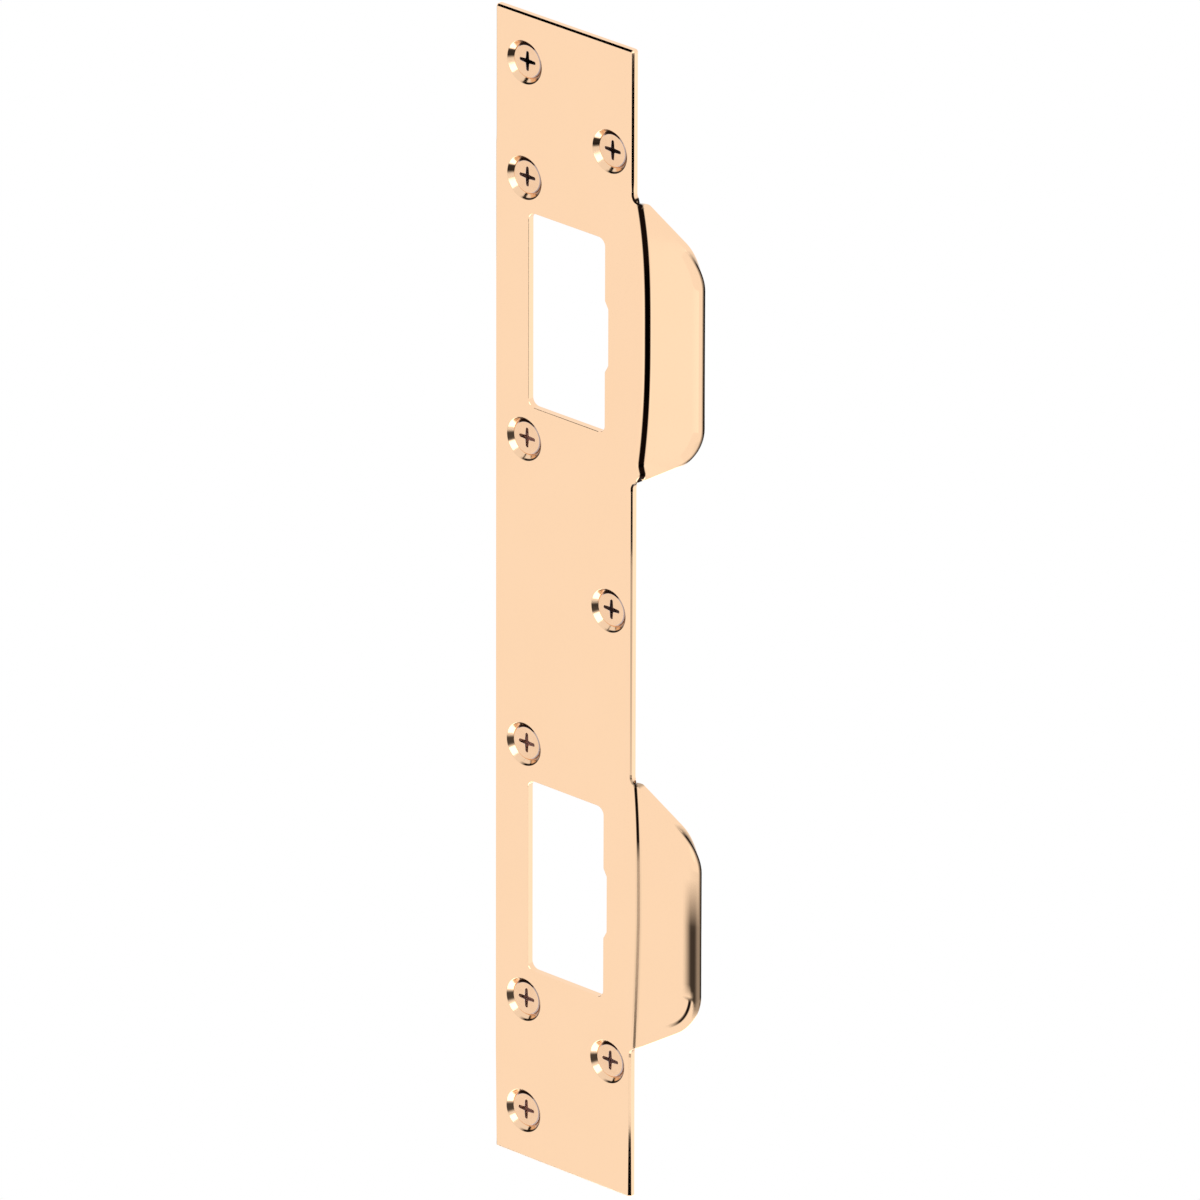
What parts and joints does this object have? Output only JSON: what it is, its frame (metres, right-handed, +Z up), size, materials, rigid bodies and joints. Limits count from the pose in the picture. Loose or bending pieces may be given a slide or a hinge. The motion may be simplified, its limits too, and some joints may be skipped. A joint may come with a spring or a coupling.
{
  "type": "door strike plate",
  "caption": "Long door strike plate for a latch and a deadbolt, stamped from brass, with tapered lips, bolt openings and countersunk flat-head screws.",
  "frame": {"origin": "on the back of the plate, midway between its long edges and midway between its ends", "axes": "+Z up the plate's length, +X across it towards the lips, +Y out of its back into the door jamb"},
  "size_m": [0.0599, 0.009, 0.2826],
  "materials": {
    "polished_brass": "bright polished brass",
    "brass_plated_screw": "bright brass plating on steel"
  },
  "bodies": {
    "root": {"strike_plate": "polished_brass", "mounting_screws": "brass_plated_screw"}
  },
  "joints": []
}
